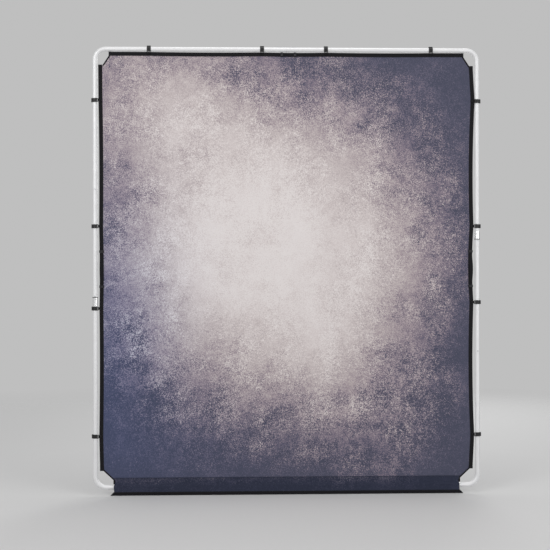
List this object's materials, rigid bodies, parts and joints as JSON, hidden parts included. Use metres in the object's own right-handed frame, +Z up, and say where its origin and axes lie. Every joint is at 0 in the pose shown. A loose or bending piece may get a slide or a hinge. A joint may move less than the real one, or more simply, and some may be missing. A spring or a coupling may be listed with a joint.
{
  "type": "collapsible backdrop panel",
  "caption": "Backdrop panel: a hinged round tube frame with bent corners that folds shut like a book, and a printed fabric cover clipped on by its webbing border.",
  "frame": {"origin": "on the floor under the middle of the frame, in the plane of the tube centres", "axes": "+Z up, +X to the right seen from the printed face, -Y out of the printed face"},
  "size_m": [2.011, 0.0503, 2.309],
  "materials": {
    "tube": "satin anodised, nearly white",
    "steel": "satin plated",
    "collar": "bright",
    "plastic": "fine moulded grain",
    "printed_fabric": "matte print in cloudy tones, light in the middle, on a plain weave",
    "skirt_fabric": "matte dark print on a plain weave",
    "webbing": "black woven tape"
  },
  "bodies": {
    "left_half": {"left_upper_tube": "tube", "left_middle_tube": "tube", "left_lower_tube": "tube", "left_spigots": "steel", "left_high_spring": "steel", "left_low_spring": "steel", "top_hinge_left_leaf": "steel", "bottom_hinge_left_leaf": "steel", "left_rivets": "steel", "left_collar": "collar", "left_collar_ring": "plastic", "left_end_plugs": "plastic", "left_top_clips": "plastic", "left_side_clips": "plastic", "left_bottom_clips": "plastic", "cover_left": "printed_fabric", "skirt_left": "skirt_fabric", "hem_left": "webbing", "top_webbing_left": "webbing", "left_webbing": "webbing", "bottom_webbing_left": "webbing", "left_corner_bindings": "webbing", "left_clip_straps": "webbing", "left_pull_loop": "webbing", "top_pull_loop_left": "webbing", "top_hinge_pin": "steel", "bottom_hinge_pin": "steel"},
    "right_half": {"right_upper_tube": "tube", "right_middle_tube": "tube", "right_lower_tube": "tube", "right_spigots": "steel", "right_high_spring": "steel", "right_low_spring": "steel", "top_hinge_right_leaf": "steel", "bottom_hinge_right_leaf": "steel", "right_rivets": "steel", "right_collar": "collar", "right_collar_ring": "plastic", "right_end_plugs": "plastic", "right_top_clips": "plastic", "right_side_clips": "plastic", "right_bottom_clips": "plastic", "cover_right": "printed_fabric", "skirt_right": "skirt_fabric", "hem_right": "webbing", "top_webbing_right": "webbing", "right_webbing": "webbing", "bottom_webbing_right": "webbing", "right_corner_bindings": "webbing", "right_clip_straps": "webbing", "right_pull_loop": "webbing", "top_pull_loop_right": "webbing"},
    "left_high_button": {"left_high_button": "steel"},
    "left_low_button": {"left_low_button": "steel"},
    "right_high_button": {"right_high_button": "steel"},
    "right_low_button": {"right_low_button": "steel"}
  },
  "joints": [
    {"name": "fold", "type": "hinge", "parent": "left_half", "child": "right_half", "pos_m": [0, 0.018, 1.1665], "axis": [0, 0, 1], "range_deg": [0, 180]},
    {"name": "left_high_button_press", "type": "slide", "parent": "left_half", "child": "left_high_button", "axis": [0, 1, 0], "range_m": [0, 0.004], "stiffness_N_per_m": 900, "springref_m": -0.001, "deforming": ["left_high_spring"]},
    {"name": "left_low_button_press", "type": "slide", "parent": "left_half", "child": "left_low_button", "axis": [0, 1, 0], "range_m": [0, 0.004], "stiffness_N_per_m": 900, "springref_m": -0.001, "deforming": ["left_low_spring"]},
    {"name": "right_high_button_press", "type": "slide", "parent": "right_half", "child": "right_high_button", "axis": [0, 1, 0], "range_m": [0, 0.004], "stiffness_N_per_m": 900, "springref_m": -0.001, "deforming": ["right_high_spring"]},
    {"name": "right_low_button_press", "type": "slide", "parent": "right_half", "child": "right_low_button", "axis": [0, 1, 0], "range_m": [0, 0.004], "stiffness_N_per_m": 900, "springref_m": -0.001, "deforming": ["right_low_spring"]}
  ]
}
